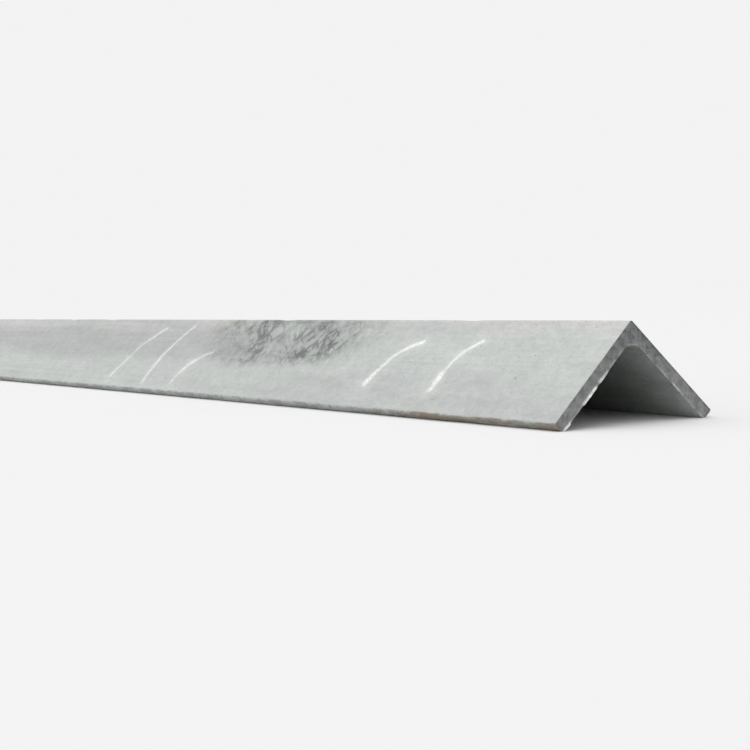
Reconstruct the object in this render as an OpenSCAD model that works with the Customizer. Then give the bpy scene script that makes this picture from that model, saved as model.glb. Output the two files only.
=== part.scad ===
// Equal-leg steel angle section: one hot-rolled bar, cut to a stock length.
// It lies heel up on its two toes. Its length runs along X, and the origin is under its middle.
// All sizes are in millimetres.

/* [Section] */
// Width of each leg, from the heel to the toe
leg_w = 50; // [40:1:75]
// Thickness of both legs
leg_t = 5; // [4:0.5:8]
// Radius of the root fillet between the two inner faces
root_r = 5.5; // [4:0.5:9]
// Radius on the inner corner of each toe
toe_r = 2; // [1:0.1:3]

/* [Outer edges] */
// Radius on the outer corner of the heel
heel_r = 0.8; // [0.3:0.1:1.5]
// Radius on the outer corner of each toe
toe_edge_r = 0.6; // [0.3:0.1:0.9]

/* [Length] */
// Stock length of the bar
bar_l = 6000; // [1000:500:12000]

/* [Hidden] */
// Facets of a full round
$fn = 64;
// How far each leg leans from upright, so that the bar stands on both toes
lean = 45;
// The sharp corner that a round replaces stands this share of the radius beyond it
corner_reach = sqrt(2) - 1;
// Height of the sharp heel corner above the ground that the rounded toes touch
heel_h = (leg_w + leg_t) / sqrt(2) - corner_reach * toe_r;
// How far a sliver runs on past its corner, so that it leaves no skin behind
past = 1;

// What lies between a square corner at the origin and the round of radius r that fits into it
// It is taken off an outer corner, and added to the root
module corner_sliver(r) {
    difference() {
        translate([-past, -past]) square(r + past);
        translate([r, r]) circle(r);
    }
}

// One leg along +X: its outer face is on the X axis and the heel's sharp corner at the origin
module leg_profile() {
    difference() {
        square([leg_w, leg_t]);
        translate([leg_w, leg_t]) rotate(180) corner_sliver(toe_r);
        translate([leg_w, 0]) rotate(90) corner_sliver(toe_edge_r);
    }
}

// The rolled section: two legs square to each other, the root fillet and the rounded heel
module section_profile() {
    difference() {
        union() {
            leg_profile();
            mirror([1, -1]) leg_profile();
            translate([leg_t, leg_t]) corner_sliver(root_r);
        }
        corner_sliver(heel_r);
    }
}

// The bar: the section turned heel up, drawn out along X and stood on its toes
module angle_section() {
    color("darkgray")
        translate([-bar_l / 2, 0, heel_h])
            rotate([90, 0, 90])
                linear_extrude(height = bar_l)
                    rotate(-90 - lean) section_profile();
}

angle_section();
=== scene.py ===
"""The visible surface of one hot-rolled steel angle bar, its finish, and the studio it is shown in.

All lengths are in metres. The bar runs along X with its heel up, and its near end is at +X.
A place on the section is given by two distances: along the leg from the heel, and deep into it.
A reach is a distance back from the near end.
"""

import bisect
import math
import random
from functools import reduce

import bmesh
import bpy
from bpy.props import FloatProperty, FloatVectorProperty, PointerProperty
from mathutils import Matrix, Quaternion, Vector, noise


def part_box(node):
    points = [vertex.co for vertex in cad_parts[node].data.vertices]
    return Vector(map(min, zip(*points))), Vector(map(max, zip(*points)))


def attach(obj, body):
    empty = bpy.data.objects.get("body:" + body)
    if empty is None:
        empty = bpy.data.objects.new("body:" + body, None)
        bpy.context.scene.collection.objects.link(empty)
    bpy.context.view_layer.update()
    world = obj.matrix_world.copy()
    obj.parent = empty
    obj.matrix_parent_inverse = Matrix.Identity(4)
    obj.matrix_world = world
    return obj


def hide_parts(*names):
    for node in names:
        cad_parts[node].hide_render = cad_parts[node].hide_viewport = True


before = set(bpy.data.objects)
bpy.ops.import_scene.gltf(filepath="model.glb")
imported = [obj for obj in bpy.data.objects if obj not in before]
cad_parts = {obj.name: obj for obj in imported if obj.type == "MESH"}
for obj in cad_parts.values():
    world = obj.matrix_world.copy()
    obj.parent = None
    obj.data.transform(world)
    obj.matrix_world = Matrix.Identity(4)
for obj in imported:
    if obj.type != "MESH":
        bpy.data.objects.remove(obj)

bl_info = {
    "name": "Rolled Angle Bar",
    "version": (1, 0, 0),
    "blender": (4, 5, 0),
    "location": "3D View > Sidebar > Angle Bar",
    "description": "Models one bar of hot-rolled steel angle with its mill scale and sheared ends",
    "category": "Add Mesh",
}

SOLID = "angle_section"
LOW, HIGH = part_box(SOLID)
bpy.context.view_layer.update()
ROOT2 = math.sqrt(2)
TINY = 1e-6


class SectionSizes(bpy.types.PropertyGroup):
    """The rolled section"""

    leg_width: FloatProperty(
        name="Leg width", description="Width of each leg over its outer face",
        default=0.050, unit="LENGTH",
    )
    leg_thickness: FloatProperty(
        name="Leg thickness", description="Thickness of both legs",
        default=0.005, unit="LENGTH",
    )
    root_radius: FloatProperty(
        name="Root radius", description="Fillet between the inner faces",
        default=0.0055, unit="LENGTH",
    )
    toe_radius: FloatProperty(
        name="Toe radius", description="Round on the inner corner of each toe",
        default=0.002, unit="LENGTH",
    )
    heel_radius: FloatProperty(
        name="Heel radius", description="Round on the heel",
        default=0.0008, unit="LENGTH",
    )
    toe_edge_radius: FloatProperty(
        name="Toe edge radius", description="Round on the outer corner of each toe",
        default=0.0006, unit="LENGTH",
    )


class WearSizes(bpy.types.PropertyGroup):
    """What rolling, shearing and handling left on the bar"""

    waviness: FloatProperty(
        name="Waviness", description="Depth of the shallow waves that the rolls leave",
        default=0.00014, unit="LENGTH",
    )
    roll_over: FloatProperty(
        name="Roll-over", description="How far the shear blade drew the outer edges in",
        default=0.0004, unit="LENGTH",
    )
    tear: FloatProperty(
        name="Tear", description="Depth of the torn part of the sheared faces",
        default=0.0003, unit="LENGTH",
    )
    burr: FloatProperty(
        name="Burr", description="Height of the burr along the inner edges of the ends",
        default=0.0006, unit="LENGTH",
    )
    nick: FloatProperty(
        name="Nick", description="Depth of the deepest nick in the heel and the toes",
        default=0.0004, unit="LENGTH",
    )
    dent: FloatProperty(
        name="Dent", description="Depth of the deepest dent in the flat faces",
        default=0.0003, unit="LENGTH",
    )


class FinishColours(bpy.types.PropertyGroup):
    """Colours of the steel's surface"""

    pale_scale: FloatVectorProperty(
        name="Pale scale", description="Greenish grey of the clean mill scale",
        default=(0.510, 0.538, 0.518), subtype="COLOR", size=3,
    )
    pink_scale: FloatVectorProperty(
        name="Pink scale", description="Faintly pink grey of the scale beside the heel",
        default=(0.565, 0.537, 0.543), subtype="COLOR", size=3,
    )
    green_scale: FloatVectorProperty(
        name="Green scale", description="Faintly green grey of the scale beside the heel",
        default=(0.455, 0.525, 0.435), subtype="COLOR", size=3,
    )
    thick_scale: FloatVectorProperty(
        name="Thick scale", description="Darker neutral grey of the thicker mill scale",
        default=(0.430, 0.439, 0.435), subtype="COLOR", size=3,
    )
    # Dark scale also paints the shade inside the angle, and darkens the toe edges
    dark_scale: FloatVectorProperty(
        name="Dark scale", description="Dirt, greasy marks and pits",
        default=(0.13, 0.14, 0.135), subtype="COLOR", size=3,
    )
    rust: FloatVectorProperty(
        name="Rust", description="Light rust along the toes and at the ends",
        default=(0.22, 0.155, 0.095), subtype="COLOR", size=3,
    )
    chalk: FloatVectorProperty(
        name="Chalk", description="Chalk strokes",
        default=(0.86, 0.86, 0.84), subtype="COLOR", size=3,
    )
    cut_steel: FloatVectorProperty(
        name="Cut steel", description="Torn steel of the sheared ends",
        default=(0.238, 0.243, 0.246), subtype="COLOR", size=3,
    )
    # Bright steel also paints the heel's bright line, which is partly rubbed metal and partly a
    # painted highlight
    bright_steel: FloatVectorProperty(
        name="Bright steel", description="Fresh metal on burrs, scratches and the rubbed heel",
        default=(0.66, 0.66, 0.65), subtype="COLOR", size=3,
    )


class StudioSettings(bpy.types.PropertyGroup):
    """Floor, light and camera"""

    backdrop: FloatVectorProperty(
        name="Backdrop", description="Pale colour of the air behind, into which the floor fades",
        default=(0.89, 0.89, 0.89), subtype="COLOR", size=3,
    )
    floor: FloatVectorProperty(
        name="Floor", description="Pale colour of the floor",
        default=(0.775, 0.775, 0.775), subtype="COLOR", size=3,
    )
    sky: FloatProperty(
        name="Sky", description="Strength of the light from overhead", default=0.9,
    )
    horizon: FloatProperty(
        name="Horizon", description="Strength of the light from the sides", default=0.42,
    )
    sun_strength: FloatProperty(
        name="Sun strength", description="Strength of the wide veiled sun", default=1.4,
    )
    lens: FloatProperty(
        name="Lens", description="Focal length of the camera", default=89.9, unit="CAMERA",
    )


# Places on the bar


def heel_height():
    """Height of the sharp heel corner over the floor that the rounded toes stand on."""
    size = bpy.context.scene.angle_sizes
    return (size.leg_width + size.leg_thickness) / ROOT2 - (ROOT2 - 1) * size.toe_radius


def place(x, along, deep, leg):
    """A point of the bar. The leg is -1 for the left one and 1 for the right one."""
    return Vector((x, leg * (along - deep) / ROOT2, heel_height() - (along + deep) / ROOT2))


def leg_place(point):
    """How far along its leg and how deep in it a point of the bar lies."""
    drop = heel_height() - point.z
    return (drop + abs(point.y)) / ROOT2, (drop - abs(point.y)) / ROOT2


def inner_gap(along, deep):
    """Distance from a place in the section to the inner face or the root fillet."""
    size = bpy.context.scene.angle_sizes
    centre = size.leg_thickness + size.root_radius
    return math.hypot(max(centre - along, 0.0), centre - deep) - size.root_radius


def soft_step(value, low, high):
    """Rises smoothly from 0 at low to 1 at high."""
    share = min(max((value - low) / (high - low), 0.0), 1.0)
    return share * share * (3 - 2 * share)


def ripple(x, across, size, seed):
    """Smooth noise from 0 to 1, with features of the given length and width."""
    length, width = size
    return 0.5 + 0.5 * noise.noise(Vector((x / length, across / width, seed)))


# Rolling the bar

# Facets in each round of the section
HEEL_FACETS = 5
TOE_EDGE_FACETS = 4
TOE_FACETS = 7
ROOT_FACETS = 12
# Width of the narrow strip beside each round, and of the strips across the flat faces
BESIDE_ROUND = 0.0004
FLAT_STRIP = 0.003
# A side of the section that is longer than this is a flat, and not a facet of a round
LEAST_FLAT = 4 * BESIDE_ROUND

# The bar is cut into rings. Each pair is how far a zone reaches from its end, and its spacing
NEAR_ZONES = ((0.0008, 0.0008), (0.006, 0.0009), (0.04, 0.0017), (0.80, 0.004))
FAR_ZONES = ((0.0008, 0.0008), (0.006, 0.0013), (0.04, 0.004))
PLAIN_RING = 0.0095
# Cells of the grid on the sheared faces, how near to each other two of its points may be, and
# how near a cut may pass a point and still go through it
CUT_CELL = 0.0005
CUT_MERGE = 0.00006
CUT_SNAP = CUT_MERGE / 4


def only_verts(geometry):
    """The vertices among some vertices, edges and faces."""
    return [g for g in geometry if isinstance(g, bmesh.types.BMVert)]


def cut_into_strips(bm, side):
    """Cuts a flat side of the section into strips, with a narrow one beside each round."""
    corners = [v.co.copy() for v in side.verts]
    cuts = max(round(side.calc_length() / FLAT_STRIP) - 1, 2)
    inner = only_verts(bmesh.ops.subdivide_edges(bm, edges=[side], cuts=cuts)["geom_inner"])
    for corner in corners:
        beside = min(inner, key=lambda v: (v.co - corner).length)
        beside.co = corner + (beside.co - corner).normalized() * BESIDE_ROUND


def section_face(bm, x):
    """The rolled section as one face at x, with its corners rounded and its flats in strips."""
    size = bpy.context.scene.angle_sizes
    width, thick = size.leg_width, size.leg_thickness
    corners = (
        (place(x, thick, thick, -1), size.root_radius, ROOT_FACETS),
        (place(x, width, thick, -1), size.toe_radius, TOE_FACETS),
        (place(x, width, 0, -1), size.toe_edge_radius, TOE_EDGE_FACETS),
        (place(x, 0, 0, -1), size.heel_radius, HEEL_FACETS),
        (place(x, width, 0, 1), size.toe_edge_radius, TOE_EDGE_FACETS),
        (place(x, width, thick, 1), size.toe_radius, TOE_FACETS),
    )
    verts = [bm.verts.new(point) for point, _, _ in corners]
    bm.faces.new(verts)
    for vert, (_, radius, facets) in zip(verts, corners):
        bmesh.ops.bevel(
            bm, geom=[vert], offset=radius, offset_type="OFFSET", segments=facets,
            profile=0.5, affect="VERTICES", material=-1,
        )
    for side in [e for e in bm.edges if e.calc_length() > LEAST_FLAT]:
        cut_into_strips(bm, side)
    bm.faces.ensure_lookup_table()
    return bm.faces[0]


def measure_girth(face, layer):
    """Writes on each vertex how far round the section it lies, and returns the whole girth."""
    girth = 0.0
    for loop in face.loops:
        loop.vert[layer] = girth
        girth += loop.edge.calc_length()
    return girth


def cut_face(bm, x):
    """The vertices, edges and faces of the sheared face at x, always in the same order."""
    faces = [f for f in bm.faces if all(abs(v.co.x - x) < TINY for v in f.verts)]
    verts = dict.fromkeys(v for f in faces for v in f.verts)
    edges = dict.fromkeys(e for f in faces for e in f.edges)
    return [*verts, *edges, *faces]


def grid_cut_face(bm, x):
    """Cuts the sheared face at x into small cells that follow both legs."""
    size = bpy.context.scene.angle_sizes
    beside = CUT_CELL / 2
    lines = [CUT_CELL * i for i in range(1, round(size.leg_width / CUT_CELL))]
    lines += [beside, size.leg_thickness - beside, size.leg_width - beside]
    planes = [(Vector((x, 0, 0)), Vector((0, 1, 0)))]
    planes += [(place(x, at, at, leg), Vector((0, leg, 1))) for leg in (-1, 1) for at in lines]
    for point, normal in planes:
        bmesh.ops.bisect_plane(
            bm, geom=cut_face(bm, x), dist=CUT_SNAP, plane_co=point, plane_no=normal
        )
    bmesh.ops.remove_doubles(bm, verts=only_verts(cut_face(bm, x)), dist=CUT_MERGE)


def paint_cut_faces(bm, ends):
    """Gives the sheared faces the second material."""
    for x in ends:
        for face in (g for g in cut_face(bm, x) if isinstance(g, bmesh.types.BMFace)):
            face.material_index = 1


def cut_rings(bm):
    """Cuts the drawn bar into rings, closer together where more relief is to show."""
    near = [(HIGH.x - reach, step) for reach, step in NEAR_ZONES]
    far = [(LOW.x + reach, step) for reach, step in FAR_ZONES]
    for x, _ in (*near, *far):
        bmesh.ops.bisect_plane(
            bm, geom=[*bm.verts, *bm.edges, *bm.faces], dist=TINY,
            plane_co=(x, 0, 0), plane_no=(1, 0, 0),
        )
    zones = [(outer[0], inner[0], outer[1]) for inner, outer in zip(near, near[1:])]
    zones += [(inner[0], outer[0], outer[1]) for inner, outer in zip(far, far[1:])]
    zones.append((far[-1][0], near[-1][0], PLAIN_RING))
    for low, high, step in zones:
        drawn = [
            e for e in bm.edges
            if {round(v.co.x - low, 6) for v in e.verts} == {0.0, round(high - low, 6)}
        ]
        bmesh.ops.subdivide_edges(bm, edges=drawn, cuts=math.ceil((high - low) / step) - 1)


# Wear of the bar

# Waves that the rolls leave: their length along the bar and their width round the section
SLOW_WAVE = (0.17, 0.045)
QUICK_WAVE = (0.035, 0.012)
# A vertex whose normal points less than this across the bar lies on a sheared face
LEAST_ACROSS = 0.1

# Nicks: how many, and the ranges of their half lengths and of their shares of the depth
NICK_COUNT = 90
NICK_LENGTH = (0.003, 0.011)
NICK_WIDTH = 0.0016
NICK_DEPTH = (0.2, 1.0)
# Above 1 the nicks crowd towards the near end
NICK_CROWDING = 1.6
# Dents: the same, and where they lie as a share of the leg's width
DENT_COUNT = 26
DENT_PLACE = (0.15, 0.85)
DENT_LENGTH = (0.008, 0.03)
DENT_WIDTH = (0.004, 0.010)
DENT_DEPTH = (0.3, 1.0)
HANDLING_SEED = 41
# A mark ends this many half lengths out, and at this share of the leg's thickness
MARK_REACH = 3
MARKED_SHARE = 0.8

# How many times as wide the roll-over is as it is deep
ROLL_OVER_WIDTH = 2.5
# Between these shares of the thickness the smooth part of the cut goes over into the torn part
TORN_SHARES = (0.3, 0.5)
# Features of the cut across and up: lines that the blade dragged, the torn part and the burr
DRAG_LINES = (0.0011, 0.008)
TORN_GRAIN = (0.0016, 0.0016)
BURR_GRAIN = (0.0012, 0.0012)
# Where the burr stands along the inner edge of an end: the leg, and from and to along it
BURR_RUNS = (
    (-1, 0.0200, 0.0265),
    (-1, 0.0275, 0.0370),
    (-1, 0.0445, 0.0500),
    (1, 0.0300, 0.0340),
)
# How far outside such a run the burr starts to rise, and how far inside it the burr is full
BURR_RAMP = (0.0008, 0.0012)
# The share of the burr that stands everywhere else, how deep it starts on a toe, and how far it
# leans out for its height
LEAST_BURR = 0.12
TOE_BURR_DEPTH = 0.001
BURR_LEAN = 0.3


def inward(vert):
    """The way into the section at a vertex, or no way at all on a sheared face."""
    way = Vector((0, -vert.normal.y, -vert.normal.z))
    return way.normalized() if way.length > LEAST_ACROSS else Vector()


def roll_waves(bm, girth_layer):
    """Sinks the surface by the shallow waves that the rolls leave."""
    wear = bpy.context.scene.angle_wear
    bm.normal_update()
    for vert in bm.verts:
        x, girth = vert.co.x, vert[girth_layer]
        sunk = 0.7 * ripple(x, girth, SLOW_WAVE, 3.1) + 0.3 * ripple(x, girth, QUICK_WAVE, 8.4)
        vert.co += inward(vert) * wear.waviness * sunk


def handling_marks():
    """Places of the nicks and dents: x, leg, along, half length, half width and depth."""
    size, wear = bpy.context.scene.angle_sizes, bpy.context.scene.angle_wear
    draw = random.Random(HANDLING_SEED)
    marks = []
    for _ in range(NICK_COUNT):
        x = HIGH.x - (HIGH.x - LOW.x) * draw.random() ** NICK_CROWDING
        along = draw.choice((0.0, size.leg_width, size.leg_width, size.leg_width))
        length = draw.uniform(*NICK_LENGTH)
        leg = draw.choice((-1, 1))
        depth = wear.nick * draw.uniform(*NICK_DEPTH)
        marks.append((x, leg, along, length, NICK_WIDTH, depth))
    for _ in range(DENT_COUNT):
        x = draw.uniform(LOW.x, HIGH.x)
        along = size.leg_width * draw.uniform(*DENT_PLACE)
        length = draw.uniform(*DENT_LENGTH)
        width = draw.uniform(*DENT_WIDTH)
        leg = draw.choice((-1, 1))
        depth = wear.dent * draw.uniform(*DENT_DEPTH)
        marks.append((x, leg, along, length, width, depth))
    return marks


def mark_handling(bm):
    """Presses the nicks and dents of handling into the outer faces, the heel and the toes."""
    thick = bpy.context.scene.angle_sizes.leg_thickness
    verts = sorted(bm.verts, key=lambda v: v.co.x)
    stations = [v.co.x for v in verts]
    for x, leg, middle, length, width, depth in handling_marks():
        first = bisect.bisect_left(stations, x - MARK_REACH * length)
        last = bisect.bisect_right(stations, x + MARK_REACH * length)
        for vert in verts[first:last]:
            along, deep = leg_place(vert.co)
            other_leg = vert.co.y * leg < 0 and middle > 0
            if other_leg or deep > MARKED_SHARE * thick:
                continue
            away = ((vert.co.x - x) / length) ** 2 + ((along - middle) / width) ** 2
            if away < MARK_REACH**2:
                vert.co += inward(vert) * depth * math.exp(-away)


def burr_share(y, along):
    """How much of the burr stands at a place along a leg's inner edge."""
    outside, inside = BURR_RAMP
    share = LEAST_BURR
    for leg, first, last in BURR_RUNS:
        if y * leg > 0:
            rise = soft_step(along, first - outside, first + inside)
            share = max(share, rise * (1 - soft_step(along, last - inside, last + outside)))
    return share


def shear_end(bm, x, outward):
    """Gives the sheared face at x its roll-over, its torn part and its broken burr."""
    size, wear = bpy.context.scene.angle_sizes, bpy.context.scene.angle_wear
    roll_width = ROLL_OVER_WIDTH * wear.roll_over
    smooth_end, torn_start = (share * size.leg_thickness for share in TORN_SHARES)
    for vert in only_verts(cut_face(bm, x)):
        along, deep = leg_place(vert.co)
        y, z = vert.co.y, vert.co.z
        roll = wear.roll_over * max(1 - deep / roll_width, 0.0) ** 2
        torn = soft_step(deep, smooth_end, torn_start)
        drag = ripple(y, z, DRAG_LINES, x)
        grain = ripple(y, z, TORN_GRAIN, x + 5)
        sunk = wear.tear * (torn * (0.35 + 0.65 * grain) + 0.30 * drag)
        by_inner_edge = 1 - inner_gap(along, deep) / CUT_CELL
        by_toe = 1 - (size.leg_width - along) / CUT_CELL if deep > TOE_BURR_DEPTH else 0.0
        edge = max(by_inner_edge, by_toe, 0.0)
        ragged = min(max(0.15 + ripple(y, z, BURR_GRAIN, x + 13), 0.1), 1.0)
        lip = wear.burr * edge * burr_share(y, along) * ragged
        vert.co.x = x - outward * (wear.burr + roll + sunk - lip)
        if edge > 0.5:
            vert.co += Vector((0, -math.copysign(BURR_LEAN, y) * lip, -BURR_LEAN * lip))


# The map that textures are baked through

# The near stretch has a band to itself and is drawn larger than the rest, which has plain bands.
# The heights of the bands, and the gaps between them, are shares of the map
NEAR_STRETCH = 0.60
NEAR_BAND = 0.29
PLAIN_BANDS = 4
PLAIN_BAND = 0.133
BAND_GAP = 0.006
CUT_BAND = 0.055
# The band of a sheared face has room for its leg and for this share of the root fillet's radius
ROOT_SHARE = 0.3


def lay_out(bm, girth_layer, girth):
    """Lays the surface out in bands on the map that textures are baked through."""
    size = bpy.context.scene.angle_sizes
    layer = bm.loops.layers.uv.new("OFBake")
    room = 1 - 2 * BAND_GAP
    plain_stretch = (HIGH.x - LOW.x - NEAR_STRETCH) / PLAIN_BANDS
    cut_floor = NEAR_BAND + PLAIN_BANDS * PLAIN_BAND + (PLAIN_BANDS + 2) * BAND_GAP
    deepest = size.leg_thickness + ROOT_SHARE * size.root_radius

    def band_place(reach, turn, middle):
        """Where a corner goes, by its reach, its share of the girth and its face's reach."""
        if middle < NEAR_STRETCH:
            return BAND_GAP + room * reach / NEAR_STRETCH, BAND_GAP + NEAR_BAND * turn
        band = min(int((middle - NEAR_STRETCH) / plain_stretch), PLAIN_BANDS - 1)
        start = NEAR_STRETCH + band * plain_stretch
        up = NEAR_BAND + 2 * BAND_GAP + band * (PLAIN_BAND + BAND_GAP)
        return BAND_GAP + room * (reach - start) / plain_stretch, up + PLAIN_BAND * turn

    def cut_place(point, column, row):
        """Where a point of a sheared face goes: a column for each end, and a row for each leg."""
        along, deep = leg_place(point)
        left = column / 2 + BAND_GAP + along / size.leg_width * (room / 2 - BAND_GAP)
        return left, cut_floor + row * (CUT_BAND + BAND_GAP) + CUT_BAND * deep / deepest

    for face in bm.faces:
        centre = face.calc_center_median()
        if face.material_index:
            for loop in face.loops:
                loop[layer].uv = cut_place(loop.vert.co, int(centre.x > 0), int(centre.y > 0))
            continue
        turns = [loop.vert[girth_layer] for loop in face.loops]
        wraps = max(turns) > girth / 2
        for loop, turn in zip(face.loops, turns):
            share = 1.0 if wraps and turn < girth / 4 else turn / girth
            loop[layer].uv = band_place(HIGH.x - loop.vert.co.x, share, HIGH.x - centre.x)


# The whole bar

# Where the surface turns by more than this, its edge is sharp
SHARP_ANGLE = math.radians(35)


def roll_bar():
    """The whole bar as one closed mesh, drawn out from its section and worn."""
    bm = bmesh.new()
    girth_layer = bm.verts.layers.float.new("girth")
    section = section_face(bm, LOW.x)
    girth = measure_girth(section, girth_layer)
    drawn = bmesh.ops.extrude_face_region(bm, geom=[section])["geom"]
    bmesh.ops.translate(bm, verts=only_verts(drawn), vec=(HIGH.x - LOW.x, 0, 0))
    for x in (LOW.x, HIGH.x):
        grid_cut_face(bm, x)
    paint_cut_faces(bm, (LOW.x, HIGH.x))
    cut_rings(bm)
    bmesh.ops.recalc_face_normals(bm, faces=bm.faces)
    lay_out(bm, girth_layer, girth)
    roll_waves(bm, girth_layer)
    mark_handling(bm)
    shear_end(bm, LOW.x, -1)
    shear_end(bm, HIGH.x, 1)
    bm.verts.layers.float.remove(girth_layer)
    mesh = bpy.data.meshes.new("rolled_bar")
    bm.to_mesh(mesh)
    bm.free()
    mesh.shade_smooth()
    mesh.set_sharp_from_angle(angle=SHARP_ANGLE)
    bar = bpy.data.objects.new("rolled_bar", mesh)
    bpy.context.scene.collection.objects.link(bar)
    return bar


# Making materials

# Sockets of a Mix node for colours: the two colours that go in, and the one that comes out
FIRST_COLOUR = 6
SECOND_COLOUR = 7
BLENDED_COLOUR = 2
# Keeps the right leg's pattern apart from the left one's
RIGHT_LEG_SHIFT = 31.0


class Wire:
    """One output of a material's nodes. Arithmetic on it adds Math nodes."""

    def __init__(self, bench, socket):
        self.bench = bench
        self.socket = socket

    def __add__(self, other):
        return self.bench.maths("ADD", self, other)

    def __sub__(self, other):
        return self.bench.maths("SUBTRACT", self, other)

    def __mul__(self, other):
        return self.bench.maths("MULTIPLY", self, other)

    def __truediv__(self, other):
        return self.bench.maths("DIVIDE", self, other)

    def __radd__(self, other):
        return self.bench.maths("ADD", other, self)

    def __rsub__(self, other):
        return self.bench.maths("SUBTRACT", other, self)

    def __rmul__(self, other):
        return self.bench.maths("MULTIPLY", other, self)

    def __gt__(self, other):
        return self.bench.maths("GREATER_THAN", self, other)

    def __abs__(self):
        return self.bench.maths("ABSOLUTE", self)


class Bench:
    """Lays out the nodes of one material or world."""

    def __init__(self, owner):
        owner.use_nodes = True
        self.tree = owner.node_tree
        self.tree.nodes.clear()

    def node(self, kind, settings=None, sockets=None):
        """Adds a node: its settings first, then the values or links of its sockets."""
        made = self.tree.nodes.new(kind)
        for name, value in (settings or {}).items():
            setattr(made, name, value)
        for name, value in (sockets or {}).items():
            if isinstance(value, Wire):
                self.tree.links.new(value.socket, made.inputs[name])
            else:
                made.inputs[name].default_value = value
        return made

    def wire(self, kind, settings=None, sockets=None, output=0):
        """The chosen output of a new node."""
        return Wire(self, self.node(kind, settings, sockets).outputs[output])

    def maths(self, operation, *values):
        """The result of one Math node."""
        return self.wire("ShaderNodeMath", {"operation": operation}, dict(enumerate(values)))

    def most(self, *values):
        """The largest of the values."""
        return reduce(lambda one, other: self.maths("MAXIMUM", one, other), values)

    def least(self, *values):
        """The smallest of the values."""
        return reduce(lambda one, other: self.maths("MINIMUM", one, other), values)

    def distance(self, x, y):
        """How long a step of x one way and y square to it is."""
        return self.maths("SQRT", x * x + y * y)

    def rise(self, value, low, high):
        """Rises smoothly from 0 at low to 1 at high."""
        return self.wire(
            "ShaderNodeMapRange", {"interpolation_type": "SMOOTHSTEP"},
            {"Value": value, "From Min": low, "From Max": high, "To Min": 0.0, "To Max": 1.0},
        )

    def fall(self, value, low, high):
        """Falls smoothly from 1 at low to 0 at high."""
        return 1.0 - self.rise(value, low, high)

    def vector(self, x, y, z):
        """A vector of three values."""
        return self.wire("ShaderNodeCombineXYZ", None, {0: x, 1: y, 2: z})

    def split(self, vector):
        """The three values of a vector."""
        parts = self.node("ShaderNodeSeparateXYZ", None, {0: vector})
        return [Wire(self, socket) for socket in parts.outputs]

    def clouds(self, at, detail=2.0, roughness=0.5):
        """Soft noise round a half, with features of about one unit."""
        return self.wire(
            "ShaderNodeTexNoise", {"normalize": True},
            {"Vector": at, "Scale": 1.0, "Detail": detail, "Roughness": roughness},
        )

    def veins(self, clouds, low, high):
        """Thin lines where the noise passes a half: full nearer to it than low, none past high."""
        return self.fall(abs(clouds - 0.5), low, high)

    def blend(self, share, first, second):
        """Goes from the first colour to the second as the share goes from 0 to 1."""
        colours = {
            FIRST_COLOUR: first if isinstance(first, Wire) else (*first, 1.0),
            SECOND_COLOUR: second if isinstance(second, Wire) else (*second, 1.0),
        }
        return self.wire(
            "ShaderNodeMix", {"data_type": "RGBA", "clamp_factor": True},
            {0: share, **colours}, BLENDED_COLOUR,
        )

    def tone(self, colour, shade):
        """A colour made darker or lighter."""
        return self.wire(
            "ShaderNodeVectorMath", {"operation": "SCALE"}, {"Vector": colour, "Scale": shade}
        )

    def steel(self, colour, roughness, metallic, height, strength, depth):
        """Ends a material as steel, with the strength and depth of its fine relief."""
        normal = self.wire(
            "ShaderNodeBump", None, {"Strength": strength, "Distance": depth, "Height": height}
        )
        surface = self.wire(
            "ShaderNodeBsdfPrincipled", None,
            {
                "Base Color": colour, "Roughness": roughness,
                "Metallic": metallic, "Normal": normal,
            },
        )
        self.node("ShaderNodeOutputMaterial", None, {"Surface": surface})


class BarPlaces:
    """Where a shaded point lies on the bar, as wires."""

    def __init__(self, bench):
        self.bench = bench
        at = bench.wire("ShaderNodeTexCoord", None, None, "Object")
        self.x, self.y, self.z = bench.split(at)
        drop = heel_height() - self.z
        side = abs(self.y)
        self.along = (drop + side) / ROOT2
        self.deep = (drop - side) / ROOT2
        self.right = self.y > 0.0
        self.reach = HIGH.x - self.x

    def skin_clouds(self, feature, detail=2.0, roughness=0.5):
        """Noise that follows the legs, with features of a length along the bar and a width."""
        length, width, seed = feature
        across = self.along / width + self.right * RIGHT_LEG_SHIFT
        at = self.bench.vector(self.x / length + seed, across, self.deep / width)
        return self.bench.clouds(at, detail, roughness)

    def cut_clouds(self, feature):
        """Noise on a sheared face, with features of a size across and up."""
        across, up, seed = feature
        at = self.bench.vector(self.y / across, self.z / up, self.x + seed)
        return self.bench.clouds(at, 3.0, 0.6)


# Marks on the left leg

# Chalk strokes: their upper and lower ends, each as a reach and a distance along the leg
CHALK_STROKES = (
    ((0.414, 0.007), (0.438, 0.041)),
    ((0.379, 0.006), (0.389, 0.044)),
    ((0.330, 0.023), (0.352, 0.043)),
    ((0.133, 0.013), (0.154, 0.036)),
    ((0.088, 0.012), (0.099, 0.037)),
)
# Half the width of a stroke at its lower end, by what share a distance to it counts for more at
# its thin upper end, how far it bows, and how far it sways
CHALK_WIDTH = 0.0032
CHALK_THINNING = 0.9
CHALK_BOW = 0.005
CHALK_SWAY = 0.004
# The reaches between which the chalk becomes fainter
CHALK_FADE = (0.20, 0.34)
# Features of the chalk: their length along the bar, their width, and their seed
CHALK_SWAYS = (0.016, 0.016, 2.0)
CHALK_CRUMBS = (0.0016, 0.0016, 4.0)
CHALK_RUBS = (0.02, 0.02, 12.0)

# The smudge's middle and half its size, each along the bar and along the leg
SMUDGE_MIDDLE = (0.262, 0.011)
SMUDGE_SIZE = (0.104, 0.023)
# Its slanted strokes: how they lean along the bar, how far apart they are, and their seed
SMUDGE_STROKES = ((1.5, 0.0085, 2.0), (-0.4, 0.0070, 7.0), (0.5, 0.0075, 12.0))
# How long the strokes are, and how far they curl
SMUDGE_LENGTH = 0.022
SMUDGE_CURL = 0.009
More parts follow.
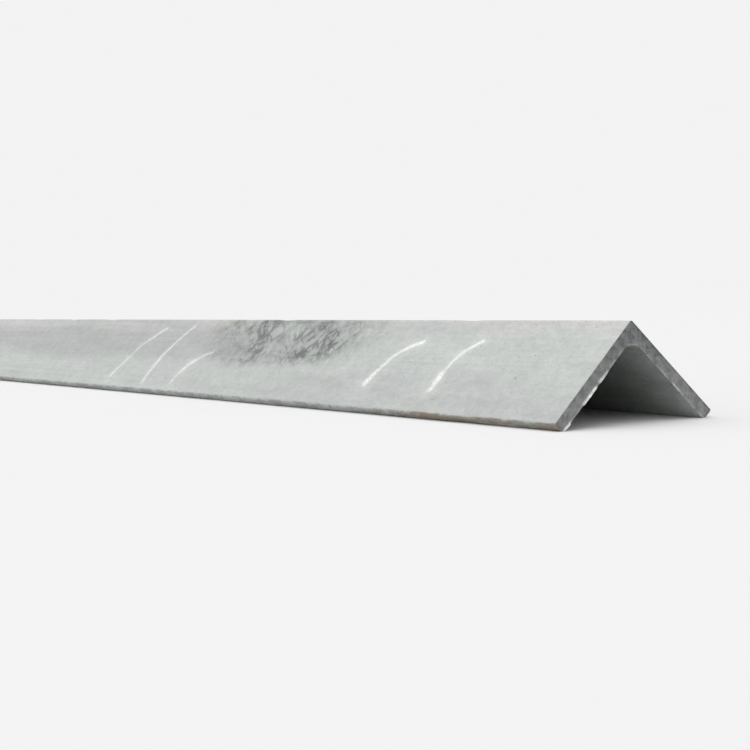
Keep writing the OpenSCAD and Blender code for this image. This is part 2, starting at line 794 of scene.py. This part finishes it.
# Features of the smudge, as those of the chalk
SMUDGE_RAGS = (0.03, 0.012, 23.0)
SMUDGE_CURLS = (0.013, 0.009, 27.0)
SMUDGE_SMEARS = (0.018, 0.010, 31.0)
SMUDGE_WEAR = (0.012, 0.007, 17.0)
SMUDGE_GREASE = (0.05, 0.02, 29.0)


def stroke_gap(bench, spot, sway, upper, lower):
    """Distance to a bowed chalk stroke, counted for more towards its thin upper end."""
    reach, along = lower[0] - upper[0], lower[1] - upper[1]
    length = math.hypot(reach, along)
    to_x, to_y = spot.reach + sway - upper[0], spot.along - upper[1]
    share = bench.wire(
        "ShaderNodeClamp", None, {0: (to_x * reach + to_y * along) / length**2, 1: 0.0, 2: 1.0}
    )
    bow = share * (1.0 - share) * (4 * CHALK_BOW / length)
    off_x = to_x - share * reach - bow * along
    off_y = to_y - share * along + bow * reach
    return bench.distance(off_x, off_y) * (1.0 + (1.0 - share) * CHALK_THINNING)


def chalk_marks(bench, spot):
    """How much chalk lies at a point: plain bowed strokes, rubbed thin in places."""
    sway = (spot.skin_clouds(CHALK_SWAYS, 1.0) - 0.5) * CHALK_SWAY
    nearest = bench.least(*(stroke_gap(bench, spot, sway, *ends) for ends in CHALK_STROKES))
    crumble = spot.skin_clouds(CHALK_CRUMBS, 3.0, 0.7)
    rubbed = spot.skin_clouds(CHALK_RUBS)
    width = CHALK_WIDTH * (0.6 + bench.rise(rubbed, 0.35, 0.65) * 0.45)
    line = bench.fall(nearest, width * 0.3, width * 1.15)
    dust = bench.fall(nearest, width, width * 3.5) * 0.12
    grainy = 0.45 + bench.rise(crumble, 0.36, 0.60) * 0.35 + bench.rise(rubbed, 0.40, 0.60) * 0.2
    fresh = 1.0 - bench.rise(spot.reach, *CHALK_FADE) * 0.35
    return (line * grainy * 0.85 + dust) * fresh


def scrawled_smudge(bench, spot):
    """How dark a greasy mark is at a point: thin crossing strokes over a soft smear."""
    off_x = (spot.reach - SMUDGE_MIDDLE[0]) / SMUDGE_SIZE[0]
    off_y = (spot.along - SMUDGE_MIDDLE[1]) / SMUDGE_SIZE[1]
    ragged = spot.skin_clouds(SMUDGE_RAGS) * 0.5
    area = bench.fall(off_x * off_x + off_y * off_y + ragged, 0.55, 1.30)
    curl = (spot.skin_clouds(SMUDGE_CURLS, 1.0) - 0.5) * SMUDGE_CURL
    strokes = []
    for lean, gap, seed in SMUDGE_STROKES:
        across = (spot.reach + curl + spot.along * lean) / gap
        slanted = bench.vector(across, (spot.along + curl) / SMUDGE_LENGTH, seed)
        strokes.append(bench.veins(bench.clouds(slanted, 1.0, 0.4), 0.010, 0.075))
    smear = bench.rise(spot.skin_clouds(SMUDGE_SMEARS, 3.0, 0.6), 0.42, 0.64)
    worn = bench.rise(spot.skin_clouds(SMUDGE_WEAR, 3.0, 0.6), 0.34, 0.58)
    greasy = bench.rise(spot.skin_clouds(SMUDGE_GREASE), 0.36, 0.62)
    scrawl = bench.most(*strokes) * worn * (0.38 + greasy * 0.40) + smear * (0.14 + greasy * 0.22)
    return (scrawl + 0.14 + greasy * 0.15) * area


# Mill scale

# Features of the scale: their length along the bar, their width, and their seed
BROAD_PATCHES = (0.30, 0.028, 0.0)
PATCHES = (0.055, 0.014, 5.0)
STREAKS = (0.42, 0.0019, 9.0)
FLECKS = (0.0055, 0.0034, 14.0)
GRAIN = (0.0013, 0.0009, 21.0)
MOTTLES = (0.024, 0.010, 81.0)
PEPPER = (0.0021, 0.0013, 91.0)
PINK_TINTS = (0.10, 0.008, 61.0)
GREEN_TINTS = (0.07, 0.006, 67.0)
RUST_BLOOMS = (0.012, 0.004, 33.0)
RUST_SPECKS = (0.009, 0.006, 40.0)
PITS = (0.0042, 0.0022, 51.0)
PITTED_FIELDS = (0.06, 0.03, 57.0)
SCRATCHED_FIELDS = (0.11, 0.03, 63.0)
LONG_SCRATCHES = (0.9, 0.0024, 70.0)
# Slanted scratches: how far apart and how long they are, how they lean along the bar and turn
# along the leg, and their seeds
SCRATCH_GAP = 0.0022
SCRATCH_LENGTH = 0.075
SCRATCH_LEAN = 2.1
SCRATCH_TURN = 0.45
SCRATCH_SEEDS = (3.0, 6.0)

# Between these depths the outer skin goes over into the inside
OUTER_SKIN = (0.0009, 0.0020)
# Along the leg, where a band of thicker scale starts and ends, and one of thinner scale starts
THICK_BAND_START = (0.004, 0.010)
THICK_BAND_END = (0.020, 0.034)
THIN_BAND_START = (0.026, 0.040)
# The reaches between which both bands come in, and between which they fade to a quarter
BANDS_START = (0.10, 0.45)
BANDS_FADE = (0.6, 1.6)
# Along the leg, where the tints beside the heel end, and where the bright line on it ends: rubbed
# metal with a painted highlight
HEEL_TINTS_END = (0.002, 0.014)
HIGHLIT_HEEL_END = (0.0005, 0.0017)
# How far from the toe its darker, rustier edge starts, and how far from it that edge is full
TOE_EDGE = (0.0014, 0.0002)
# The reaches between which the toes become less rusty, and between which the rust of the near
# end stops
TOE_RUST_LESS = (0.09, 0.17)
NEAR_RUST_END = (0.0005, 0.007)
# Strength and depth of the scale's fine relief
SCALE_RELIEF = (0.5, 0.00018)


def tinted_scale(bench, spot, patch, streak):
    """Clean scale, thicker in patches and in a band, with faint tints beside the heel."""
    colour = bpy.context.scene.angle_colours
    thick = spot.skin_clouds(BROAD_PATCHES) * 0.55 + patch * 0.30 + streak * 0.15
    thick_band = bench.rise(spot.along, *THICK_BAND_START) * bench.fall(spot.along, *THICK_BAND_END)
    thin_band = bench.rise(spot.along, *THIN_BAND_START)
    faded = 1.0 - bench.rise(spot.reach, *BANDS_FADE) * 0.75
    banded = bench.rise(spot.reach, *BANDS_START) * faded
    trend = banded * (0.02 + thick_band * 0.17 - thin_band * 0.11)
    thicker = bench.rise(thick + trend, 0.45, 0.67)
    skin = bench.blend(thicker, colour.pale_scale, colour.thick_scale)
    by_heel = bench.fall(spot.along, *HEEL_TINTS_END)
    pink = bench.rise(spot.skin_clouds(PINK_TINTS), 0.42, 0.58)
    skin = bench.blend(by_heel * pink * 0.7, skin, colour.pink_scale)
    green = bench.rise(spot.skin_clouds(GREEN_TINTS), 0.54, 0.68)
    return bench.blend(by_heel * green * 0.6, skin, colour.green_scale)


def light_rust(bench, spot, toe_edge, inside):
    """How rusty a point is: most along the near toes, less at the end and inside, and specks."""
    near_toe = toe_edge * bench.fall(spot.reach, *TOE_RUST_LESS)
    near_end = bench.fall(spot.reach, *NEAR_RUST_END)
    share = near_toe * 0.62 + toe_edge * 0.18 + near_end * 0.25 + inside * 0.12
    bloom = spot.skin_clouds(RUST_BLOOMS, 4.0, 0.65)
    speck = bench.rise(spot.skin_clouds(RUST_SPECKS, 3.0, 0.6), 0.72, 0.80)
    return bench.most(bench.rise(bloom + share * 0.34, 0.66, 0.86) * 0.75, speck * 0.35)


def small_pits(bench, spot):
    """Small pits in the scale, in scattered fields."""
    pit = bench.rise(spot.skin_clouds(PITS, 3.0, 0.6), 0.67, 0.74)
    return pit * bench.rise(spot.skin_clouds(PITTED_FIELDS), 0.40, 0.58)


def fine_scratches(bench, spot):
    """Bright scratches: slanted ones in scattered fields, and faint long ones along the bar."""
    across = (spot.reach - spot.along * SCRATCH_LEAN) / SCRATCH_GAP + SCRATCH_SEEDS[0]
    lengthways = (spot.along + spot.reach * SCRATCH_TURN) / SCRATCH_LENGTH
    at = bench.vector(across, lengthways, SCRATCH_SEEDS[1])
    slanted = bench.veins(bench.clouds(at, 0.0), 0.002, 0.012)
    slanted = slanted * bench.rise(spot.skin_clouds(SCRATCHED_FIELDS), 0.54, 0.66)
    long = bench.veins(spot.skin_clouds(LONG_SCRATCHES, 0.0), 0.001, 0.010)
    return bench.most(slanted * 0.5, long * 0.22)


def mill_scale():
    """Hot-rolled skin: satin grey scale, streaked along the bar, rubbed, specked and chalked, with
    painted shade and highlight.
    """
    colour = bpy.context.scene.angle_colours
    width = bpy.context.scene.angle_sizes.leg_width
    material = bpy.data.materials.new("mill_scale")
    bench = Bench(material)
    spot = BarPlaces(bench)
    outer = bench.fall(spot.deep, *OUTER_SKIN)
    inside = 1.0 - outer
    left_outer = outer * (1.0 - spot.right)
    toe_edge = bench.rise(spot.along, width - TOE_EDGE[0], width - TOE_EDGE[1])
    highlit_heel_line = bench.fall(spot.along, *HIGHLIT_HEEL_END)

    patch = spot.skin_clouds(PATCHES, 3.0, 0.55)
    streak = spot.skin_clouds(STREAKS, 3.0, 0.6)
    fleck = bench.rise(spot.skin_clouds(FLECKS, 3.0, 0.6), 0.33, 0.67)
    grain = bench.rise(spot.skin_clouds(GRAIN, 2.0, 0.6), 0.30, 0.70)
    mottle = bench.rise(spot.skin_clouds(MOTTLES, 3.0, 0.55), 0.35, 0.65)
    pepper = bench.rise(spot.skin_clouds(PEPPER, 2.0, 0.6), 0.58, 0.72)
    shade = 0.575 + streak * 0.27 + patch * 0.18 + fleck * 0.09
    shade = shade + grain * 0.12 + mottle * 0.06 - pepper * 0.10

    smudge = scrawled_smudge(bench, spot) * left_outer
    # The toe edges made darker in patches
    darker_toe_edge = toe_edge * bench.rise(patch * 0.5 + fleck * 0.5, 0.42, 0.62)
    # Painted shade: the inside of the angle made darker in patches
    painted_inside_shade = inside * bench.rise(patch, 0.35, 0.75)
    dark = bench.most(smudge * 0.80, darker_toe_edge * 0.45, painted_inside_shade * 0.35)
    rust = light_rust(bench, spot, toe_edge, inside)
    pit = small_pits(bench, spot)
    scratch = fine_scratches(bench, spot)
    # The heel's bright line: rubbed metal, and a painted highlight along the heel
    rubbed = highlit_heel_line * bench.rise(patch * 0.5 + grain * 0.5, 0.36, 0.56)
    bright = bench.most(scratch, rubbed * 0.5)
    chalk = chalk_marks(bench, spot) * left_outer
    dull = bench.most(rust, chalk)

    skin = tinted_scale(bench, spot, patch, streak)
    skin = bench.blend(dark, skin, colour.dark_scale)
    skin = bench.blend(rust, skin, colour.rust)
    skin = bench.blend(pit * 0.6, skin, colour.dark_scale)
    skin = bench.blend(bright, skin, colour.bright_steel)
    skin = bench.blend(chalk, skin, colour.chalk)
    roughness = 0.36 + patch * 0.14 + streak * 0.08 + grain * 0.06 + dull * 0.3 - bright * 0.10
    metallic = (0.42 + bright * 0.45) * (1.0 - dull)
    height = grain * 0.25 + fleck * 0.55 + streak * 0.35 - pit * 1.2 - scratch * 0.5 + chalk * 0.4
    bench.steel(bench.tone(skin, shade), roughness, metallic, height, *SCALE_RELIEF)
    return material


# Sheared faces

# Features of the cut's finish: their size across and up, and their seed
DRAG_TONES = (0.0014, 0.010, 2.0)
BLOTCHES = (0.0030, 0.0030, 5.0)
GRIT = (0.0010, 0.0010, 9.0)
# The depths between which the smoother band ends, and how far the blotches shift its end
SMOOTH_BAND_END = (0.0016, 0.0026)
SMOOTH_BAND_SHIFT = 0.0008
# The distances from the inner edge between which the bright burr ends
BURR_END = (0.0005, 0.0011)
# The depths between which the dark outer edge ends, and where along the leg the dark heel ends
DARK_EDGE_END = (0.0004, 0.0034)
DARK_HEEL_END = (0.008, 0.032)
# Strength and depth of the cut's fine relief
CUT_RELIEF = (0.6, 0.00012)


def bright_burr(bench, spot, blotch):
    """How much burr stands at a point of a sheared face, in the same runs as in its shape."""
    size = bpy.context.scene.angle_sizes
    centre = size.leg_thickness + size.root_radius
    in_root = bench.most(centre - spot.along, 0.0)
    gap = bench.distance(in_root, centre - spot.deep) - size.root_radius
    outside, inside = BURR_RAMP
    runs = [0.05 + blotch * 0.2]
    for leg, first, last in BURR_RUNS:
        run = bench.rise(spot.along, first - outside, first + inside)
        run = run * bench.fall(spot.along, last - inside, last + outside)
        runs.append(run * (spot.right if leg > 0 else 1.0 - spot.right))
    return bench.fall(gap, *BURR_END) * bench.most(*runs)


def sheared_steel():
    """The cut face: a smoother band by the outer edge, torn dark steel, and a bright burr."""
    colour = bpy.context.scene.angle_colours
    material = bpy.data.materials.new("sheared_steel")
    bench = Bench(material)
    spot = BarPlaces(bench)
    drag = bench.rise(spot.cut_clouds(DRAG_TONES), 0.34, 0.66)
    blotch = bench.rise(spot.cut_clouds(BLOTCHES), 0.36, 0.64)
    grit = bench.rise(spot.cut_clouds(GRIT), 0.30, 0.70)
    smooth = bench.fall(spot.deep + blotch * SMOOTH_BAND_SHIFT, *SMOOTH_BAND_END)
    bright = bright_burr(bench, spot, blotch) * 0.9
    rust = bench.rise(blotch * 0.6 + grit * 0.4, 0.75, 0.98) * 0.2

    steel = bench.blend(smooth * 0.06, colour.cut_steel, colour.bright_steel)
    steel = bench.blend(bright, steel, colour.bright_steel)
    steel = bench.blend(rust * (1.0 - bright), steel, colour.rust)
    shade = 0.54 + drag * 0.14 + blotch * 0.40 + grit * 0.22
    shade = shade + bench.rise(spot.deep, *DARK_EDGE_END) * 0.20
    shade = shade - bench.fall(spot.along, *DARK_HEEL_END) * 0.24
    roughness = 0.52 + grit * 0.12 - smooth * 0.10 - bright * 0.16
    metallic = 0.55 + bright * 0.35 - rust * 0.5
    height = drag * 0.5 + grit * 0.5 + blotch * 0.3
    bench.steel(bench.tone(steel, shade), roughness, metallic, height, *CUT_RELIEF)
    return material


# Studio

FLOOR_RADIUS = 90.0
FLOOR_SIDES = 96
# The floor goes over into the backdrop's colour between these distances from the bar
FLOOR_FADE = (0.25, 1.7)
# The light of the horizon goes over into the sky's between these upward parts of a direction
SKY_RISE = (0.0, 0.9)
# The way that the veiled sun shines, how wide it stands in the sky, and how high its lamp hangs
SUN_WAY = (0.4, 1.6, -2.6)
SUN_WIDTH = math.radians(120)
SUN_HEIGHT = 3
# Where the camera stands, from the middle of the near end's foot
CAMERA_STAND = (0.543, -0.4126, 0.0594)
# The point on the left leg that it looks at, and how far it is turned about its line of sight
AIM_REACH = 0.151
AIM_ALONG = 0.032
CAMERA_TILT = math.radians(-2.5)
# Width of the camera's sensor in millimetres, and the nearest and farthest that it sees
SENSOR_WIDTH = 36.0
CAMERA_RANGE = (0.01, 500.0)


def floor_finish():
    """Matt pale floor that goes over into the backdrop far away."""
    studio = bpy.context.scene.angle_studio
    material = bpy.data.materials.new("pale_floor")
    bench = Bench(material)
    at = bench.wire("ShaderNodeTexCoord", None, None, "Object")
    x, y, _ = bench.split(at)
    away = bench.distance(bench.most(abs(x) - HIGH.x, 0.0), y)
    matt = bench.wire("ShaderNodeBsdfDiffuse", None, {"Color": (*studio.floor, 1.0)})
    glow = bench.wire(
        "ShaderNodeEmission", None, {"Color": (*studio.backdrop, 1.0), "Strength": 1.0}
    )
    surface = bench.wire(
        "ShaderNodeMixShader", None, {0: bench.rise(away, *FLOOR_FADE), 1: matt, 2: glow}
    )
    bench.node("ShaderNodeOutputMaterial", None, {"Surface": surface})
    return material


def lay_floor():
    """A round floor at the height that the toes stand on."""
    bm = bmesh.new()
    bmesh.ops.create_circle(bm, cap_ends=True, segments=FLOOR_SIDES, radius=FLOOR_RADIUS)
    mesh = bpy.data.meshes.new("studio_floor")
    bm.to_mesh(mesh)
    bm.free()
    mesh.materials.append(floor_finish())
    floor = bpy.data.objects.new("studio_floor", mesh)
    bpy.context.scene.collection.objects.link(floor)


def light_sky():
    """Soft light from all round, stronger from overhead, before a plain pale backdrop."""
    studio = bpy.context.scene.angle_studio
    world = bpy.data.worlds.new("studio_air")
    bpy.context.scene.world = world
    bench = Bench(world)
    at = bench.wire("ShaderNodeTexCoord", None, None, "Generated")
    _, _, height = bench.split(at)
    strength = studio.horizon + bench.rise(height, *SKY_RISE) * (studio.sky - studio.horizon)
    light = bench.wire(
        "ShaderNodeBackground", None, {"Color": (1.0, 1.0, 1.0, 1.0), "Strength": strength}
    )
    seen = bench.wire(
        "ShaderNodeBackground", None, {"Color": (*studio.backdrop, 1.0), "Strength": 1.0}
    )
    by_camera = bench.wire("ShaderNodeLightPath", None, None, "Is Camera Ray")
    both = bench.wire("ShaderNodeMixShader", None, {0: by_camera, 1: light, 2: seen})
    bench.node("ShaderNodeOutputWorld", None, {"Surface": both})


def hang_sun():
    """One wide veiled sun, from the camera's left."""
    light = bpy.data.lights.new("veiled_sun", "SUN")
    light.energy = bpy.context.scene.angle_studio.sun_strength
    light.angle = SUN_WIDTH
    sun = bpy.data.objects.new("veiled_sun", light)
    sun.rotation_mode = "QUATERNION"
    sun.rotation_quaternion = Vector(SUN_WAY).to_track_quat("-Z", "Y")
    sun.location = (0, 0, SUN_HEIGHT)
    bpy.context.scene.collection.objects.link(sun)


def stand_camera():
    """The camera low at the near end, a little above the heel, looking back along the bar."""
    data = bpy.data.cameras.new("camera")
    data.lens = bpy.context.scene.angle_studio.lens
    data.sensor_width = SENSOR_WIDTH
    data.clip_start, data.clip_end = CAMERA_RANGE
    camera = bpy.data.objects.new("camera", data)
    camera.location = Vector((HIGH.x, 0, LOW.z)) + Vector(CAMERA_STAND)
    aim = place(HIGH.x - AIM_REACH, AIM_ALONG, 0, -1) - camera.location
    camera.rotation_mode = "QUATERNION"
    camera.rotation_quaternion = aim.to_track_quat("-Z", "Y") @ Quaternion((0, 0, 1), CAMERA_TILT)
    bpy.context.scene.collection.objects.link(camera)
    bpy.context.scene.camera = camera


class ANGLE_OT_roll_bar(bpy.types.Operator):
    """Rolls the bar, shears its ends and gives it its finish"""

    bl_idname = "angle.roll_bar"
    bl_label = "Roll the bar"

    def execute(self, context):
        bar = roll_bar()
        if not bar.data.polygons:
            raise RuntimeError("The bar has no faces")
        bar.data.materials.append(mill_scale())
        bar.data.materials.append(sheared_steel())
        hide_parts(SOLID)
        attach(bar, "root")
        return {"FINISHED"}


class ANGLE_OT_set_studio(bpy.types.Operator):
    """Lays the pale floor, hangs the lights and stands the camera"""

    bl_idname = "angle.set_studio"
    bl_label = "Set the studio"

    def execute(self, context):
        lay_floor()
        light_sky()
        hang_sun()
        stand_camera()
        context.scene.view_settings.view_transform = "Standard"
        return {"FINISHED"}


class ANGLE_PT_sidebar(bpy.types.Panel):
    """Lists the bar's settings and operators"""

    bl_idname = "ANGLE_PT_sidebar"
    bl_label = "Angle Bar"
    bl_space_type = "VIEW_3D"
    bl_region_type = "UI"
    bl_category = "Angle Bar"

    def draw(self, context):
        for name in GROUPS:
            box = self.layout.box()
            group = getattr(context.scene, name)
            for setting in group.bl_rna.properties.keys():
                if setting not in ("rna_type", "name"):
                    box.prop(group, setting)
        for operator in (ANGLE_OT_roll_bar, ANGLE_OT_set_studio):
            self.layout.operator(operator.bl_idname)


GROUPS = {
    "angle_sizes": SectionSizes,
    "angle_wear": WearSizes,
    "angle_colours": FinishColours,
    "angle_studio": StudioSettings,
}
CLASSES = (*GROUPS.values(), ANGLE_OT_roll_bar, ANGLE_OT_set_studio, ANGLE_PT_sidebar)


def register():
    """Registers the classes and puts their settings on the scene."""
    for cls in CLASSES:
        bpy.utils.register_class(cls)
    for name, group in GROUPS.items():
        setattr(bpy.types.Scene, name, PointerProperty(type=group))


def unregister():
    """Takes the settings off the scene and unregisters the classes."""
    for name in GROUPS:
        delattr(bpy.types.Scene, name)
    for cls in reversed(CLASSES):
        bpy.utils.unregister_class(cls)


def main():
    """Makes the bar and its studio."""
    register()
    bpy.ops.angle.set_studio()
    bpy.ops.angle.roll_bar()
    bpy.context.view_layer.update()


if __name__ == "__main__":
    main()
